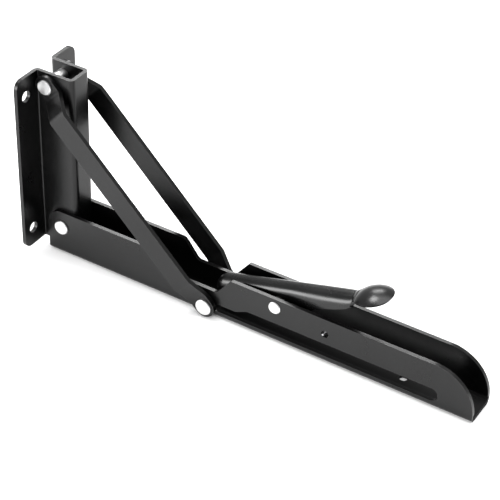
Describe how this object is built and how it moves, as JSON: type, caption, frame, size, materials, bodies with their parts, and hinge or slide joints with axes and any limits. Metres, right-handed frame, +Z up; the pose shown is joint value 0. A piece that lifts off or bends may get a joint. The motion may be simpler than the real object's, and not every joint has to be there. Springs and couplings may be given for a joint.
{
  "type": "folding shelf bracket",
  "caption": "Folding steel bracket for a drop leaf: a slotted channel arm, a hat-section wall plate, joggled braces that slide on a pin, and a spring-loaded release lever.",
  "frame": {"origin": "centre of the overall box on the ground, with the arm's closed web lying on the ground", "axes": "+X along the arm from the wall plate to the free end, +Y across the bracket, +Z up from the arm's web along the wall plate. Installed under a leaf the bracket is turned over, so that +Z points down."},
  "size_m": [0.308, 0.058, 0.1297],
  "materials": {
    "powder_coat": "satin black powder coat",
    "lever_coat": "glossy black coat",
    "zinc": "bright zinc",
    "spring_wire": "plain spring wire"
  },
  "bodies": {
    "arm": {"arm": "powder_coat", "wall_pivot_rivet": "zinc", "lever_rivet": "zinc", "near_lever_spacer": "zinc", "far_lever_spacer": "zinc", "lever_spring": "spring_wire"},
    "wall_plate": {"wall_plate": "powder_coat", "brace_pivot_rivet": "zinc"},
    "brace": {"near_strap": "powder_coat", "far_strap": "powder_coat", "near_knee_head": "zinc", "far_knee_head": "zinc"},
    "knee": {"knee_pin": "zinc", "near_knee_washer": "zinc", "far_knee_washer": "zinc"},
    "release_lever": {"release_lever": "lever_coat"}
  },
  "joints": [
    {"name": "fold", "type": "hinge", "parent": "arm", "child": "wall_plate", "pos_m": [-0.136, 0, 0.0206], "axis": [0, 1, 0], "range_deg": [0, 90]},
    {"name": "brace_swing", "type": "hinge", "parent": "wall_plate", "child": "brace", "pos_m": [-0.1437, 0, 0.1216], "axis": [0, 1, 0], "range_deg": [-126.92, 0]},
    {"name": "knee_slide", "type": "slide", "parent": "arm", "child": "knee", "axis": [1, 0, 0], "range_m": [0, 0.15365]},
    {"name": "lever_press", "type": "hinge", "parent": "arm", "child": "release_lever", "pos_m": [0.02129, 0, 0.0257], "axis": [0, 1, 0], "range_deg": [0, 8], "stiffness_Nm_per_rad": 0.4, "springref_deg": -11.46}
  ],
  "couplings": [
    {"joint": "brace_swing", "follows": "fold", "ratio": -1.4097},
    {"joint": "knee_slide", "follows": "fold", "m_per_rad": 0.097785}
  ]
}
